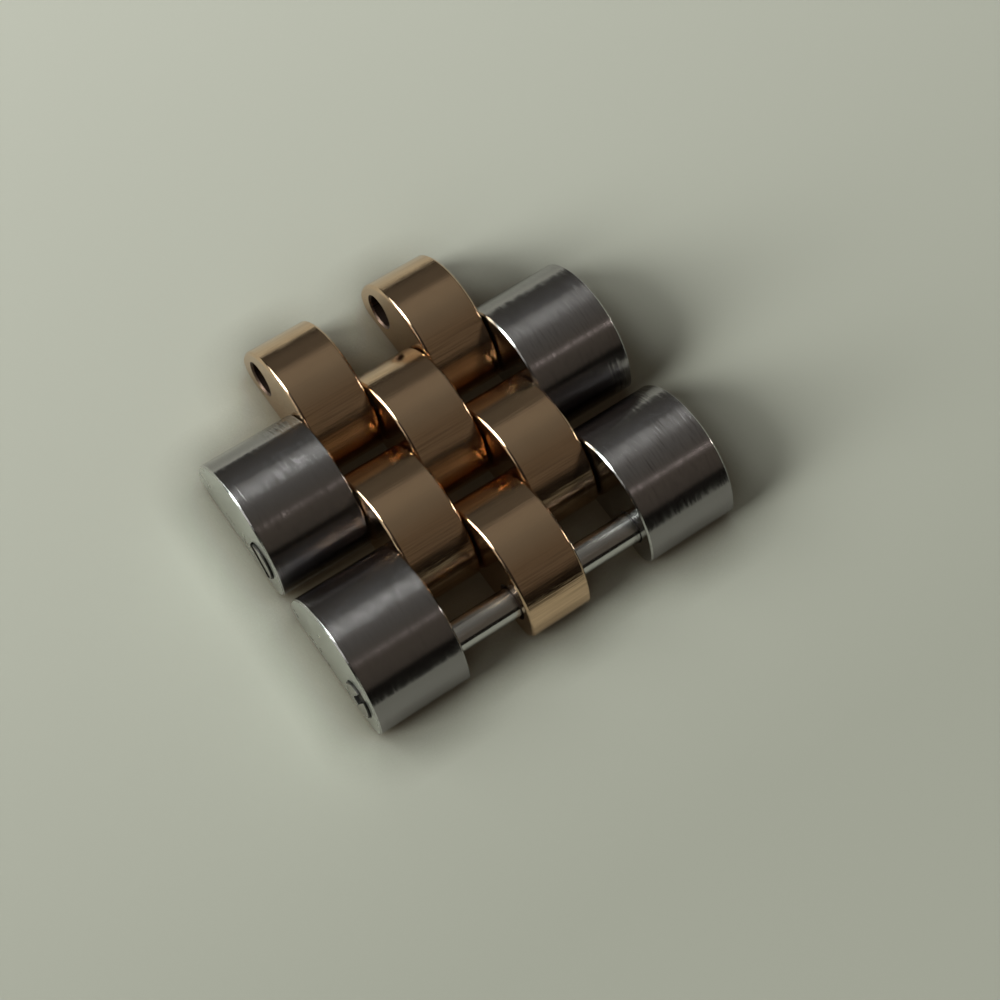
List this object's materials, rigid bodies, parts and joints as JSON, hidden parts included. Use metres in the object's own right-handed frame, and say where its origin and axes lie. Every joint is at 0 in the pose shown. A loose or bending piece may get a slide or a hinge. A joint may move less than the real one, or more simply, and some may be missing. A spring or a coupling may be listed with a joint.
{
  "type": "watch bracelet link",
  "caption": "Joined wrist bracelet links: domed brushed outer and polished centre pieces hinged on cross pins, with slotted screw pins and free bores for the next link.",
  "frame": {"origin": "on the surface that the links lie on, under the screw pin between rows B and C, midway between the outer side faces", "axes": "+X along the pins, away from the screw heads; +Y along the bracelet, towards the free bores of row A; +Z out of the show side"},
  "size_m": [0.0169, 0.0164, 0.0036],
  "materials": {
    "polished_gold": "mirror-polished rose gold",
    "brushed_steel": "steel brushed along the bracelet, with polished bevels",
    "pin_steel": "turned and polished steel"
  },
  "bodies": {
    "row_b": {"outer_link_b_left": "brushed_steel", "centre_link_b_middle": "polished_gold", "outer_link_b_right": "brushed_steel", "hinge_pin_ab": "pin_steel"},
    "ear_a_left": {"centre_link_a_left": "polished_gold"},
    "ear_a_right": {"centre_link_a_right": "polished_gold"},
    "row_c": {"centre_link_c_left": "polished_gold", "centre_link_c_right": "polished_gold"},
    "row_d": {"outer_link_d_left": "brushed_steel", "centre_link_d_middle": "polished_gold", "outer_link_d_right": "brushed_steel", "hinge_pin_cd": "pin_steel"},
    "screw_bc": {"screw_pin_bc": "pin_steel"},
    "screw_d": {"screw_pin_d": "pin_steel"}
  },
  "joints": [
    {"name": "ear_a_left_hinge", "type": "hinge", "parent": "row_b", "child": "ear_a_left", "pos_m": [0, 0.0034, 0.0013], "axis": [-1, 0, 0], "range_deg": [-55, 75]},
    {"name": "ear_a_right_hinge", "type": "hinge", "parent": "row_b", "child": "ear_a_right", "pos_m": [0, 0.0034, 0.0013], "axis": [-1, 0, 0], "range_deg": [-55, 75]},
    {"name": "row_c_hinge", "type": "hinge", "parent": "row_b", "child": "row_c", "pos_m": [0, 0, 0.0013], "axis": [1, 0, 0], "range_deg": [-55, 75]},
    {"name": "row_d_hinge", "type": "hinge", "parent": "row_c", "child": "row_d", "pos_m": [0, -0.0034, 0.0013], "axis": [1, 0, 0], "range_deg": [-55, 75]},
    {"name": "screw_bc_turn", "type": "hinge", "parent": "row_b", "child": "screw_bc", "pos_m": [0, 0, 0.0013], "axis": [-1, 0, 0], "continuous": true},
    {"name": "screw_d_turn", "type": "hinge", "parent": "row_d", "child": "screw_d", "pos_m": [0, -0.0068, 0.0013], "axis": [-1, 0, 0], "continuous": true}
  ]
}
